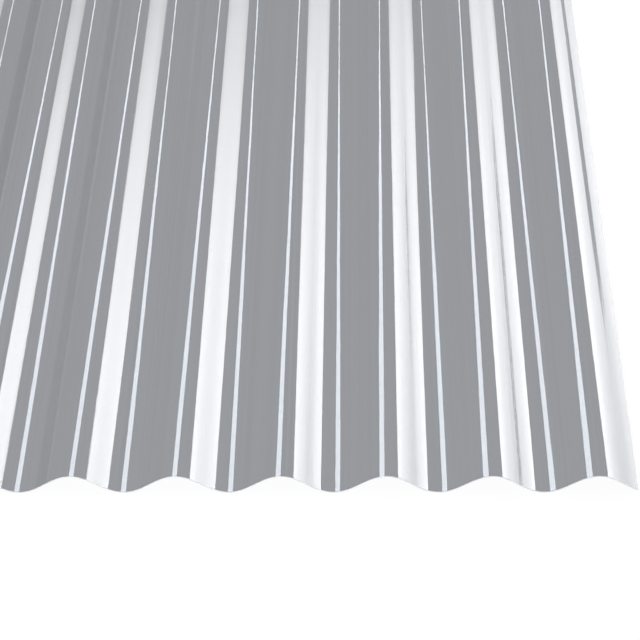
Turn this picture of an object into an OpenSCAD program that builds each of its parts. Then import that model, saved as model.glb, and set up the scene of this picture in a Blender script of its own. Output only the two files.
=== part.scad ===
// Corrugated polycarbonate roofing sheet, of the kind sold as 26 in by 8 ft with a 3 in wave.
// Millimetres. The waves run along Y and rise in Z. The origin is the middle of the sheet's
// footprint, at the level of the surface that its valleys rest on.

/* [Wave] */
// Distance from one crest to the next
wave_pitch = 76.2; // [60:0.1:95]
// Overall height of the waves, from the underside of a valley to the top of a crest
wave_depth = 18; // [12:0.5:24]
// Number of crests across the sheet
crest_count = 9; // [3:1:14]

/* [Sheet] */
// Wall thickness, measured square to the surface
sheet_thickness = 0.8; // [0.5:0.1:2]
// Length of the sheet along its waves
sheet_length = 2438.4; // [600:0.1:3700]
// How far the sheet runs past the middle of each outermost crest
edge_lip = 29; // [15:0.1:38]

/* [Quality] */
// Flat strips that make up one wave, an even number
strips_per_wave = 48; // [24:4:72]

/* [Hidden] */

// Width from one long edge to the other
sheet_width = (crest_count - 1) * wave_pitch + 2 * edge_lip;
// Rise of the middle of the wall above and below its mean level
wave_rise = (wave_depth - sheet_thickness) / 2;
// A strip lies flat along each crest and valley. The points beside it are on
// a slightly taller wave, so that the strip itself is at the full height.
point_rise = wave_rise / cos(180 / strips_per_wave);
// Width of one strip, seen from above
strip_width = wave_pitch / strips_per_wave;
// Number of points from the middle of the sheet to one long edge. It leaves
// the last strip between a half and one and a half times as wide as the rest.
points_to_edge = floor(sheet_width / 2 / strip_width);

// Angle along the wave at a distance x from the middle of the sheet.
// It is a whole number of turns at every crest.
function wave_angle(x) = 360 * (x / wave_pitch + (crest_count - 1) / 2);

// Height of the middle of the wall, from the mean level of the wave
function wall_middle(x) = point_rise * cos(wave_angle(x));

// Rise over run of the wall, so that its thickness stays the same on a slope
function wall_slope(x) = -2 * PI * point_rise / wave_pitch * sin(wave_angle(x));

// Half of the wall's thickness, measured straight up
function half_wall(x) = sheet_thickness / 2 * sqrt(1 + pow(wall_slope(x), 2));

// The mean level of the wave, which puts the underside of the valleys at zero
beside_valley = wave_pitch / 2 * crest_count + strip_width / 2;
mean_level = half_wall(beside_valley) - wall_middle(beside_valley);

// Where the section has its points, from the left edge to the right one
section_places = [
    -sheet_width / 2,
    for (i = [-points_to_edge : points_to_edge - 1]) (i + 0.5) * strip_width,
    sheet_width / 2
];

// The waves as they show on a square-cut end, one wall thick all the way
module wave_section() {
    last = len(section_places) - 1;
    top = [for (x = section_places) [x, mean_level + wall_middle(x) + half_wall(x)]];
    underside = [
        for (i = [last : -1 : 0])
            let (x = section_places[i])
            [x, mean_level + wall_middle(x) - half_wall(x)]
    ];
    polygon(concat(top, underside));
}

module corrugated_sheet() {
    color([0.59, 0.6, 0.61, 0.65])
    rotate([90, 0, 0])
    linear_extrude(height = sheet_length, center = true)
    wave_section();
}

corrugated_sheet();
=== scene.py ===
# %% [markdown]
# # A corrugated sheet of smoke-grey polycarbonate
#
# Polycarbonate roofing is extruded as a flat film of melt, under a millimetre thick, and pressed into
# waves between shaped rollers while it is still soft. It is glossy on both faces, it lets about a third
# of the light through, and the waves turn every lamp above it into long bright stripes. This notebook
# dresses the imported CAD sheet: it models the waves again with a finer, rounder section, gives them a
# clear tinted plastic, and lights them with a strip lamp and a soft box.

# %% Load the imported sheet
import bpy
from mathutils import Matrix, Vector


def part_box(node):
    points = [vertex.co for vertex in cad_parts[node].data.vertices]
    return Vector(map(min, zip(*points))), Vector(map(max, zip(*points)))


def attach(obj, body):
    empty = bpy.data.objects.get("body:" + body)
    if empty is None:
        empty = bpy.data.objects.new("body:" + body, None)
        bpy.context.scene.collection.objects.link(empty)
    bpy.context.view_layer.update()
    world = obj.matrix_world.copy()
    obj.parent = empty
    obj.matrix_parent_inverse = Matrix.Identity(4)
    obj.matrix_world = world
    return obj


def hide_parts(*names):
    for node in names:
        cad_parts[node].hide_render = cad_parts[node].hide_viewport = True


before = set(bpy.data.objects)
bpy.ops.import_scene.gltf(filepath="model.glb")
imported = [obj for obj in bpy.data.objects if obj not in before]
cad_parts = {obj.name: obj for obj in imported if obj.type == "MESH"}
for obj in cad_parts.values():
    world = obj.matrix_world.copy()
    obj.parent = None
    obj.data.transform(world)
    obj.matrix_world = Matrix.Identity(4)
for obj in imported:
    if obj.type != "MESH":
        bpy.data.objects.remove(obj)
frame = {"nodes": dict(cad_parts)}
print(f"packed pieces: {', '.join(frame['nodes'])}")

# %% [markdown]
# The waves are placed from the box of the imported sheet, so that they would still lie on the imported ones
# if the sheet were wider, longer or deeper.

# %% Measure the imported sheet
import math

import bpy
from mathutils import Matrix, Vector

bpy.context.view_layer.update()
sheet_low, sheet_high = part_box("corrugated_sheet")
sheet_width = sheet_high.x - sheet_low.x
sheet_length = sheet_high.y - sheet_low.y
wave_depth = sheet_high.z - sheet_low.z
near_end = sheet_low.y
print(f"sheet {sheet_width * 1000:.1f} x {sheet_length * 1000:.1f} x {wave_depth * 1000:.1f} mm")

# %% [markdown]
# The camera stands about a metre above the floor and a little less before the near end, and looks down on
# the sheet at 45 degrees through a long lens, so that the waves hardly converge. It is turned in three
# steps: to the side, down, and a little about its own axis. Multiplying three plain rotations keeps each
# of these angles readable, where Euler angles would mix the last two.

# %% Place the camera
camera_place = Vector((0.1352, near_end - 0.8951, 1.0562))
camera_turn_left = math.radians(1.791)
camera_look_down = math.radians(44.525)
camera_roll = math.radians(-1.411)

bpy.ops.object.camera_add(location=camera_place)
camera = bpy.context.object
camera.name = "camera"
camera.data.lens = 107.06  # millimetres, on a sensor 36 mm wide
to_the_side = Matrix.Rotation(camera_turn_left, 4, "Z")
down = Matrix.Rotation(math.pi / 2 - camera_look_down, 4, "X")
about_its_axis = Matrix.Rotation(camera_roll, 4, "Z")
camera.matrix_world = Matrix.Translation(camera_place) @ to_the_side @ down @ about_its_axis
bpy.context.scene.camera = camera
print(f"camera {camera_place.z:.3f} m up, {near_end - camera_place.y:.3f} m before the near end")

# %% [markdown]
# The section of the sheet is a sine wave with the same wall all along it. It could be drawn as a profile
# and pushed out to its length, but a sheet is made from a flat film, so the model starts flat as well:
# one strip, one wave wide, is cut into narrow lanes, and each line between two lanes is lifted to its
# height on the wave. That one wave is then repeated across the sheet.

# %% Lay out one flat wave
crest_count = 9
edge_lip = 0.029  # from the middle of an outermost crest to the long edge beside it
wall = 0.0008
wave_pitch = (sheet_width - 2 * edge_lip) / (crest_count - 1)
wave_rise = (wave_depth - wall) / 2
mean_level = (sheet_low.z + sheet_high.z) / 2
lanes = 96


def select_none():
    """Leaves edit mode and deselects every object."""
    if bpy.context.mode != "OBJECT":
        bpy.ops.object.mode_set(mode="OBJECT")
    bpy.ops.object.select_all(action="DESELECT")


select_none()
first_crest = -wave_pitch * (crest_count - 1) / 2
bpy.ops.mesh.primitive_plane_add(size=1, location=(first_crest, 0, mean_level))
sheet = bpy.context.object
sheet.name = "polycarbonate_sheet"
sheet.scale = (wave_pitch, sheet_length, 1)
bpy.ops.object.transform_apply(location=True, rotation=True, scale=True)
print(f"one wave is {wave_pitch * 1000:.1f} mm wide and rises {wave_rise * 1000:.1f} mm either way")

# %% [markdown]
# Subdividing the two edges that run across the wave cuts the strip into lanes. Each line between two
# lanes is then picked by its place and moved up or down by the cosine of that place, which is highest at
# the crest in the middle and lowest at the valleys on both sides. With 96 lanes no line can be seen in a
# reflection.

# %% Cut it into lanes and lift them to the wave
import bmesh


def select_edges(piece, wanted):
    """In edit mode, selects just the edges whose two ends pass the test."""
    bpy.ops.mesh.select_mode(type="EDGE")
    bpy.ops.mesh.select_all(action="DESELECT")
    mesh = bmesh.from_edit_mesh(piece.data)
    for edge in mesh.edges:
        edge.select_set(wanted(edge.verts[0].co, edge.verts[1].co))
    bmesh.update_edit_mesh(piece.data)


bpy.ops.object.mode_set(mode="EDIT")
select_edges(sheet, lambda a, b: abs(a.x - b.x) > wave_pitch / 2)
bpy.ops.mesh.subdivide(number_cuts=lanes - 1)
for line in range(lanes + 1):
    across = (line / lanes - 0.5) * wave_pitch
    height = wave_rise * math.cos(2 * math.pi * across / wave_pitch)
    place = first_crest + across
    select_edges(sheet, lambda a, b: max(abs(a.x - place), abs(b.x - place)) < wave_pitch / lanes / 4)
    bpy.ops.transform.translate(value=(0, 0, height))
bpy.ops.object.mode_set(mode="OBJECT")
print(f"{len(sheet.data.polygons)} lanes in one wave")

# %% [markdown]
# An Array lays nine such waves side by side and welds each one to the next. Cutting the long lanes into
# rows adds nothing to the shape yet, but it gives the next step points to move all along the sheet.

# %% Repeat the wave across the sheet and cut it into rows
rows = 32


def add_modifier(piece, kind, **settings):
    """Adds a modifier with its settings and applies it."""
    modifier = piece.modifiers.new(kind.lower(), kind)
    for name, value in settings.items():
        setattr(modifier, name, value)
    bpy.ops.object.modifier_apply(modifier=modifier.name)


add_modifier(
    sheet,
    "ARRAY",
    count=crest_count,
    use_relative_offset=False,
    use_constant_offset=True,
    constant_offset_displace=(wave_pitch, 0, 0),
    use_merge_vertices=True,
    merge_threshold=wave_pitch / lanes / 100,
)
bpy.ops.object.mode_set(mode="EDIT")
select_edges(sheet, lambda a, b: abs(a.y - b.y) > sheet_length / 2)
bpy.ops.mesh.subdivide(number_cuts=rows - 1)
bpy.ops.mesh.select_all(action="SELECT")
bpy.ops.mesh.normals_make_consistent(inside=False)
bpy.ops.object.mode_set(mode="OBJECT")
print(f"{len(sheet.data.polygons)} faces in {crest_count} waves and {rows} rows")

# %% [markdown]
# The waves are pressed by rollers built up from rings, one ring to a wave. Where two rings meet, half way
# down the right flank of every wave, the sheet drops over a strip eight millimetres wide, and from there
# it comes back to the wave just before the valley, so the sheet still rests at the same level. The
# deepest drop is 0.64 millimetres. That is little, but it is plain to see, since the steeper slope sends
# the reflection of a lamp somewhere else. No two rings press alike, so each has its own share of the
# deepest drop. A point just below a crease gets that share as its weight, and the points further down get
# less and less of it.

# %% Weigh the points below each crease
crease_at = 0.25  # of a wave, to the right of its crest
crease_width = 0.008
back_before_valley = 0.0015
way_back = (0.5 - crease_at) * wave_pitch - back_before_valley
ring_shares = (0.38, 0.66, 0.28, 0.47, 0.1, 0.8, 1, 0.57, 0.57)  # from the left crest to the right one


def weight_at(place):
    """The share of the deepest drop that a point gets, by its place across the sheet."""
    wave = (place - first_crest) / wave_pitch  # a whole number at each crest
    below = ((wave + (0.5 - crease_at)) % 1 - 0.5) * wave_pitch  # from the nearest crease to the right
    if below < crease_width / 2:
        down = min(1, max(0, below / crease_width + 0.5))
        profile = down * down * (3 - 2 * down)  # starts and ends gently
    else:
        profile = max(0, (way_back - below) / (way_back - crease_width / 2))
    return ring_shares[math.floor(wave)] * profile


creased = sheet.vertex_groups.new(name="below_the_creases")
for point in sheet.data.vertices:
    weight = weight_at(point.co.x)
    if weight > 0:
        creased.add([point.index], weight, "REPLACE")
print(f"each crease is {crease_width * 1000:.1f} mm wide and ends {way_back * 1000:.1f} mm further down")

# %% [markdown]
# A Displace modifier then moves the points down by their weights. Along the sheet the pressure changes
# too, because the rollers are never quite round, so a Clouds texture lets the drop come and go. An empty
# carries the texture: its scale makes the clouds one wave wide and a quarter of a metre long, and its
# height picks the slice of the clouds that the sheet meets. Once the points are moved, the empty and the
# weights have done their work, and both are deleted.

# %% Press the creases
deepest_drop = 0.00064
lightest_pressure = 0.3  # of the full pressure
cloud_length = 0.25
cloud_slice = 185.4

select_none()
bpy.ops.object.empty_add(location=(0, 0, cloud_slice))
clouds_at = bpy.context.object
clouds_at.scale = (wave_pitch, cloud_length, 1)
pressure = bpy.data.textures.new("roller_pressure", "CLOUDS")
pressure.noise_basis = "ORIGINAL_PERLIN"
pressure.noise_scale = 1
pressure.noise_depth = 0
pressure.contrast = 5
pressure.intensity = 1.75
pressure.use_clamp = True

bpy.context.view_layer.objects.active = sheet
add_modifier(
    sheet,
    "DISPLACE",
    direction="Z",
    strength=-deepest_drop * (1 - lightest_pressure),
    mid_level=-lightest_pressure / (1 - lightest_pressure),
    vertex_group=creased.name,
    texture=pressure,
    texture_coords="OBJECT",
    texture_coords_object=clouds_at,
)
select_none()
clouds_at.select_set(True)
bpy.ops.object.delete()
sheet.vertex_groups.clear()
print(f"the creases drop by up to {deepest_drop * 1000:.2f} mm")

# %% [markdown]
# A Solidify gives the wall its thickness, half to each side of the line and square to the slope, so the
# flanks are as thick as the crests. Two vertical cuts then trim the long edges to the width of the sheet,
# where a slitting blade would.

# %% Thicken the wall and trim the long edges
sheet.select_set(True)
bpy.context.view_layer.objects.active = sheet
add_modifier(sheet, "SOLIDIFY", thickness=wall, offset=0, use_even_offset=True)
for edge_x, outward in ((sheet_low.x, -1), (sheet_high.x, 1)):
    bpy.ops.object.mode_set(mode="EDIT")
    bpy.ops.mesh.select_all(action="SELECT")
    bpy.ops.mesh.bisect(
        plane_co=(edge_x, 0, 0), plane_no=(outward, 0, 0), use_fill=True, clear_outer=True
    )
    bpy.ops.object.mode_set(mode="OBJECT")
print(f"the sheet has {len(sheet.data.polygons)} faces")

# %% [markdown]
# The lanes meet at less than three degrees, so smooth shading hides them, while the corners of the wall
# meet at a right angle and stay sharp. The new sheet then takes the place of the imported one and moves
# with its body.

# %% Smooth the waves and keep the cut edges sharp
sharper_than = math.radians(30)
bpy.ops.object.shade_smooth_by_angle(angle=sharper_than)
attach(sheet, "root")
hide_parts("corrugated_sheet")
print(f"{sheet.name} is smooth up to {math.degrees(sharper_than):.0f} degrees and rides on the root body")

# %% [markdown]
# Materials are written with two small helpers. One turns an sRGB hex colour, as it would be picked from a
# colour chart, into the linear numbers that the shaders work in. The other adds a node, sets its values
# and makes its links in one call.

# %% Helpers for materials


def linear(hex_colour):
    """An sRGB hex colour as linear red, green, blue and alpha."""
    shares = [int(hex_colour[i : i + 2], 16) / 255 for i in (1, 3, 5)]
    return (*[s / 12.92 if s <= 0.04045 else ((s + 0.055) / 1.055) ** 2.4 for s in shares], 1)


def add_node(tree, kind, values=None, links=None, **settings):
    """Adds a node. values sets inputs, links feeds inputs from sockets, settings sets properties."""
    node = tree.nodes.new(kind)
    for name, value in settings.items():
        setattr(node, name, value)
    for name, value in (values or {}).items():
        node.inputs[name].default_value = value
    for name, socket in (links or {}).items():
        tree.links.new(socket, node.inputs[name])
    return node


def empty_nodes(owner):
    """Turns on the nodes of a material, lamp or world and clears them."""
    owner.use_nodes = True
    owner.node_tree.nodes.clear()
    return owner.node_tree


# %% [markdown]
# Smoke-grey polycarbonate is clear plastic with a grey dye in it. From between polished steel rollers it
# comes out as glossy as glass, so it is a Principled shader with full transmission, the IOR of
# polycarbonate and almost no roughness. What tells it from glass are faint lines that run its whole
# length, because every nick in the lip of the extruder draws one: a few millimetres apart, they change
# the depth of the grey, the gloss and the slope a little. A noise pattern stretched along the sheet gives
# all three.

# %% Die lines along the sheet
die_line_spacing = 0.0026  # metres across the sheet
die_line_height = 0.00003  # real lines are a third of this, drawn deeper so that they show
along_to_across = 0.0012  # how fine the pattern is along the sheet, where across it is 1
noise_low, noise_high = 0.3, 0.7  # nearly all of the pattern lies between these
glossiest, dullest = 0.02, 0.045  # roughness

polycarbonate = bpy.data.materials.new("extruded_smoke_polycarbonate")
tree = empty_nodes(polycarbonate)
place = add_node(tree, "ShaderNodeTexCoord")
drawn_out = add_node(
    tree,
    "ShaderNodeMapping",
    values={"Scale": (1, along_to_across, 1)},
    links={"Vector": place.outputs["Object"]},
)
die_lines = add_node(
    tree,
    "ShaderNodeTexNoise",
    values={"Scale": 1 / die_line_spacing, "Detail": 3, "Roughness": 0.6},
    links={"Vector": drawn_out.outputs[0]},
)
lined = add_node(
    tree,
    "ShaderNodeBump",
    values={"Strength": 1, "Distance": die_line_height},
    links={"Height": die_lines.outputs[0]},
)
smoke = add_node(
    tree,
    "ShaderNodeMix",
    values={"A": linear("#97999d"), "B": linear("#a1a3a7")},
    links={"Factor": die_lines.outputs[0]},
    data_type="RGBA",
)
gloss = add_node(
    tree,
    "ShaderNodeMapRange",
    values={"From Min": noise_low, "From Max": noise_high, "To Min": glossiest, "To Max": dullest},
    links={"Value": die_lines.outputs[0]},
)
print(f"die lines every {die_line_spacing * 1000:.1f} mm or so")

# %% [markdown]
# A real clear sheet lets the lamps shine through it on to the floor. The renderer would work that out
# only slowly, through glass, so for shadow rays and scattered rays the sheet is a plain transparent grey
# film, and its shadow on the floor stays pale.

# %% Put the clear plastic together
polycarbonate_ior = 1.585

clear_plastic = add_node(
    tree,
    "ShaderNodeBsdfPrincipled",
    values={"Metallic": 0, "IOR": polycarbonate_ior, "Transmission Weight": 1},
    links={
        "Base Color": smoke.outputs["Result"],
        "Roughness": gloss.outputs[0],
        "Normal": lined.outputs[0],
    },
)
light_path = add_node(tree, "ShaderNodeLightPath")
film_only = add_node(
    tree,
    "ShaderNodeMath",
    links={0: light_path.outputs["Is Shadow Ray"], 1: light_path.outputs["Is Diffuse Ray"]},
    operation="MAXIMUM",
)
film = add_node(tree, "ShaderNodeBsdfTransparent", values={"Color": linear("#c4c6c8")})
mixed = add_node(
    tree,
    "ShaderNodeMixShader",
    links={0: film_only.outputs[0], 1: clear_plastic.outputs[0], 2: film.outputs[0]},
)
add_node(tree, "ShaderNodeOutputMaterial", links={"Surface": mixed.outputs[0]})
sheet.data.materials.append(polycarbonate)
print(f"{polycarbonate.name} has {len(tree.nodes)} nodes")

# %% [markdown]
# The two ends and the two long edges are sawn. A saw tears the plastic a little, so the cut is matt and
# pale like frosted glass, with marks across the wall where each tooth went through. Real marks are a
# tenth of a millimetre apart; they are drawn eight times as coarse, or they would be too fine to see. The
# cut faces are found by their direction: only they face almost straight along the sheet or straight
# across it.

# %% Sawn ends and edges
saw_mark_spacing = 0.0008
saw_mark_depth = 0.00005
wall_to_edge = 0.05  # how fine the marks are across the wall, where along the edge is 1
cut_squarely = 0.9  # how nearly a cut face looks along or across the sheet, where 1 is exactly

sawn = bpy.data.materials.new("sawn_smoke_polycarbonate")
tree = empty_nodes(sawn)
place = add_node(tree, "ShaderNodeTexCoord")
across_the_wall = add_node(
    tree,
    "ShaderNodeMapping",
    values={"Scale": (1, 1, wall_to_edge)},
    links={"Vector": place.outputs["Object"]},
)
saw_marks = add_node(
    tree,
    "ShaderNodeTexNoise",
    values={"Scale": 1 / saw_mark_spacing, "Detail": 2, "Roughness": 0.5},
    links={"Vector": across_the_wall.outputs[0]},
)
frost = add_node(
    tree,
    "ShaderNodeMix",
    values={"A": linear("#dcdee0"), "B": linear("#f2f3f4")},
    links={"Factor": saw_marks.outputs[0]},
    data_type="RGBA",
)
torn = add_node(
    tree,
    "ShaderNodeBump",
    values={"Strength": 1, "Distance": saw_mark_depth},
    links={"Height": saw_marks.outputs[0]},
)
matt_plastic = add_node(
    tree,
    "ShaderNodeBsdfPrincipled",
    values={"Metallic": 0, "Roughness": 0.55, "IOR": polycarbonate_ior},
    links={"Base Color": frost.outputs["Result"], "Normal": torn.outputs[0]},
)
add_node(tree, "ShaderNodeOutputMaterial", links={"Surface": matt_plastic.outputs[0]})
sheet.data.materials.append(sawn)
for face in sheet.data.polygons:
    face.material_index = int(max(abs(face.normal.x), abs(face.normal.y)) > cut_squarely)
print(f"{sum(face.material_index for face in sheet.data.polygons)} faces are sawn")

# %% [markdown]
# The floor is a sheet of matt white paper. It is very wide, and far away it turns up in a soft curve to a
# low wall, as paper does behind a table in a studio, so a camera that stands low sees white behind the
# sheet as well. The border of a plane is extruded straight up, and a bevel with several segments rounds
# the turn. The floor lies a fifth of a millimetre below the sheet, so that the two never share a surface.
# It is stage and no part of the object.

# %% Floor with a turned-up edge
paper_width = 80
wall_height = 6
turn_radius = 2
turn_segments = 8
gap_below_sheet = 0.0002

select_none()
bpy.ops.mesh.primitive_plane_add(size=paper_width, location=(0, 0, sheet_low.z - gap_below_sheet))
floor = bpy.context.object
floor.name = "floor"
bpy.ops.object.transform_apply(location=True, rotation=True, scale=True)
bpy.ops.object.mode_set(mode="EDIT")
select_edges(floor, lambda a, b: True)
bpy.ops.mesh.extrude_edges_move(TRANSFORM_OT_translate={"value": (0, 0, wall_height)})
select_edges(floor, lambda a, b: max(a.z, b.z) < wall_height / 2)
bpy.ops.mesh.bevel(offset=turn_radius, segments=turn_segments)
bpy.ops.mesh.select_all(action="SELECT")
bpy.ops.mesh.normals_make_consistent(inside=True)
bpy.ops.object.mode_set(mode="OBJECT")
bpy.ops.object.shade_smooth()
print(f"the floor has {len(floor.data.polygons)} faces and lies at {floor.bound_box[0][2] * 1000:.1f} mm")

# %% [markdown]
# For rays from the camera, and for those that the plastic reflects or lets through, nearly all of the
# paper is an even white glow. One twentieth of it is real paper under the real lamps, which keeps a faint
# shadow of the sheet. Up the turned edge the white fades to a pale grey, because seen at a very low angle
# the sheet is a mirror of that edge, and a mirror of plain white would hide the waves. From behind and
# below the paper is not there at all, so that the underside can be looked at.

# %% White paper
glow_share = 0.95
fades_up_to = 2.5  # metres above the floor
faded_to = 0.5

floor_paper = bpy.data.materials.new("matt_white_paper")
tree = empty_nodes(floor_paper)
paper = add_node(tree, "ShaderNodeBsdfDiffuse", values={"Color": linear("#f3f3f3")})
place = add_node(tree, "ShaderNodeTexCoord")
up = add_node(tree, "ShaderNodeSeparateXYZ", links={0: place.outputs["Object"]})
fade = add_node(
    tree,
    "ShaderNodeMapRange",
    values={"From Min": 0, "From Max": fades_up_to, "To Min": 1, "To Max": faded_to},
    links={"Value": up.outputs["Z"]},
    interpolation_type="SMOOTHSTEP",
)
glow = add_node(tree, "ShaderNodeEmission", links={"Strength": fade.outputs[0]})
light_path = add_node(tree, "ShaderNodeLightPath")
seen = add_node(
    tree,
    "ShaderNodeMath",
    links={0: light_path.outputs["Is Camera Ray"], 1: light_path.outputs["Is Glossy Ray"]},
    operation="MAXIMUM",
)
seen = add_node(
    tree,
    "ShaderNodeMath",
    links={0: seen.outputs[0], 1: light_path.outputs["Is Transmission Ray"]},
    operation="MAXIMUM",
)
share = add_node(
    tree, "ShaderNodeMath", values={1: glow_share}, links={0: seen.outputs[0]}, operation="MULTIPLY"
)
mixed = add_node(
    tree, "ShaderNodeMixShader", links={0: share.outputs[0], 1: paper.outputs[0], 2: glow.outputs[0]}
)
side = add_node(tree, "ShaderNodeNewGeometry")
nothing = add_node(tree, "ShaderNodeBsdfTransparent")
one_sided = add_node(
    tree,
    "ShaderNodeMixShader",
    links={0: side.outputs["Backfacing"], 1: mixed.outputs[0], 2: nothing.outputs[0]},
)
add_node(tree, "ShaderNodeOutputMaterial", links={"Surface": one_sided.outputs[0]})
floor.data.materials.append(floor_paper)
print(f"{glow_share:.0%} of the paper glows, down to {faded_to} at {fades_up_to} m up")

# %% [markdown]
# The room around the sheet is an even grey, the same for every ray. It is kept darker than the floor
# on purpose: a glossy sheet mirrors the room, and a white room would lay a veil over the grey of the
# plastic.

# %% Room
room_brightness = 0.36  # times white

world = bpy.data.worlds.new("pale_room")
bpy.context.scene.world = world
tree = empty_nodes(world)
room = add_node(
    tree, "ShaderNodeBackground", values={"Color": linear("#f7f9ff"), "Strength": room_brightness}
)
add_node(tree, "ShaderNodeOutputWorld", links={"Surface": room.outputs[0]})
print(f"the room is {room_brightness:.0%} as bright as white paper")

# %% [markdown]
# All the bright stripes are two lamps, seen again and again in nine waves. A narrow strip lamp hangs over
# the near half of the sheet and reaches out beyond its near end. Each wave shows it twice, once near its
# crest and once near its valley, as a thin bright line, and because the strip is not quite parallel to
# the waves the lines stand a little to one side. Its face leans to the right, towards the waves that are
# furthest away from it, so that they see it as wide as the near ones do. An area lamp is set by its
# power. The helper works out the power at which its face would be just white, and the lamp's nodes then
# multiply that.

# %% Strip lamp


def hang_lamp(name, middle, along, facing, length, width, colour):
    """A flat rectangular lamp whose long side lies along one direction and whose front faces another."""
    select_none()
    bpy.ops.object.light_add(type="AREA", location=middle)
    lamp = bpy.context.object
    lamp.name = name
    long_side = Vector(along).normalized()
    back = -(Vector(facing) - Vector(facing).project(long_side)).normalized()
    short_side = long_side.cross(back)
    turn = Matrix((short_side, long_side, back)).transposed().to_4x4()
    lamp.matrix_world = Matrix.Translation(middle) @ turn
    lamp.data.shape = "RECTANGLE"
    lamp.data.size = width
    lamp.data.size_y = length
    lamp.data.color = linear(colour)[:3]
    lamp.data.energy = math.pi * length * width
    lamp.visible_camera = False
    return lamp


strip_heading = math.radians(11.3)
strip_rise = math.radians(3.7)
strip_lean = math.radians(38)
strip_length = 2.2
near_width, far_width = 0.268, 0.072
strip_along = Vector(
    (
        math.sin(strip_heading) * math.cos(strip_rise),
        math.cos(strip_heading) * math.cos(strip_rise),
        math.sin(strip_rise),
    )
)
strip_middle = Vector((-0.0732, -0.5484, 0.6672))
strip_facing = (math.sin(strip_lean), 0, -math.cos(strip_lean))
strip = hang_lamp(
    "strip_lamp", strip_middle, strip_along, strip_facing, strip_length, near_width, "#f1f7ff"
)
print(f"the strip is {strip_length} m long and hangs {strip_middle.z:.2f} m above the sheet")

# %% [markdown]
# Black card on both long sides narrows the strip towards its far end, so each line tapers as it runs away
# along the sheet. The lamp's own nodes draw the card: they measure each point of the face along the strip
# and aside from its middle line, and let light out only where it is close enough to that line.

# %% Mask the strip to a long wedge
narrow_at = 0.85  # metres beyond the middle of the strip
strip_brightness = 6.7  # times a white face

tree = empty_nodes(strip.data)
place = add_node(tree, "ShaderNodeNewGeometry")
from_middle = add_node(
    tree,
    "ShaderNodeVectorMath",
    values={1: strip_middle},
    links={0: place.outputs["Position"]},
    operation="SUBTRACT",
)
along = add_node(
    tree,
    "ShaderNodeVectorMath",
    values={1: strip_along},
    links={0: from_middle.outputs[0]},
    operation="DOT_PRODUCT",
)
aside = add_node(
    tree,
    "ShaderNodeVectorMath",
    values={1: strip.matrix_world.col[0].to_3d()},
    links={0: from_middle.outputs[0]},
    operation="DOT_PRODUCT",
)
half_width = add_node(
    tree,
    "ShaderNodeMapRange",
    values={"From Min": 0, "From Max": narrow_at, "To Min": near_width / 2, "To Max": far_width / 2},
    links={"Value": along.outputs["Value"]},
)
off_middle = add_node(tree, "ShaderNodeMath", links={0: aside.outputs["Value"]}, operation="ABSOLUTE")
open_here = add_node(
    tree,
    "ShaderNodeMath",
    links={0: off_middle.outputs[0], 1: half_width.outputs[0]},
    operation="LESS_THAN",
)
brightness = add_node(
    tree,
    "ShaderNodeMath",
    values={1: strip_brightness},
    links={0: open_here.outputs[0]},
    operation="MULTIPLY",
)
shine = add_node(tree, "ShaderNodeEmission", links={"Strength": brightness.outputs[0]})
add_node(tree, "ShaderNodeOutputLight", links={"Surface": shine.outputs[0]})
print(f"the strip narrows from {near_width * 1000:.0f} to {far_width * 1000:.0f} mm")

# %% [markdown]
# The broad white bands are a soft box that stands upright some three metres to the right and is as long
# as a wall. It is seen only in the flanks that lean towards it. A real soft box is brightest near
# its lamp, which here is just above its top edge and a little beyond the far end of the sheet, and darker
# away from it; that fade gives each band its greyer middle.

# %% Side soft box
box_away = 3.1
box_from, box_to = -4.1, 5.6
box_low, box_high = 0.3, 2.7
brightest_place = (box_away, 1.8, 3.15)
brightest, dimmest = 8.8, 1.5  # times a white face
dimmest_from = 4.1  # metres from the brightest place
box_middle = Vector((box_away, (box_from + box_to) / 2, (box_low + box_high) / 2))
soft_box = hang_lamp(
    "side_soft_box", box_middle, (0, 1, 0), (-1, 0, 0), box_to - box_from, box_high - box_low, "#ffffff"
)

tree = empty_nodes(soft_box.data)
place = add_node(tree, "ShaderNodeNewGeometry")
from_brightest = add_node(
    tree,
    "ShaderNodeVectorMath",
    values={1: brightest_place},
    links={0: place.outputs["Position"]},
    operation="DISTANCE",
)
falloff = add_node(
    tree,
    "ShaderNodeMapRange",
    values={"From Min": 0, "From Max": dimmest_from, "To Min": brightest, "To Max": dimmest},
    links={"Value": from_brightest.outputs["Value"]},
    interpolation_type="SMOOTHSTEP",
)
shine = add_node(tree, "ShaderNodeEmission", links={"Strength": falloff.outputs[0]})
add_node(tree, "ShaderNodeOutputLight", links={"Surface": shine.outputs[0]})
print(f"the soft box is {box_to - box_from:.1f} m long and {box_high - box_low:.1f} m high")

# %% [markdown]
# The colours are kept as they were chosen, with no film look laid over them.

# %% Finish
bpy.context.scene.view_settings.view_transform = "Standard"
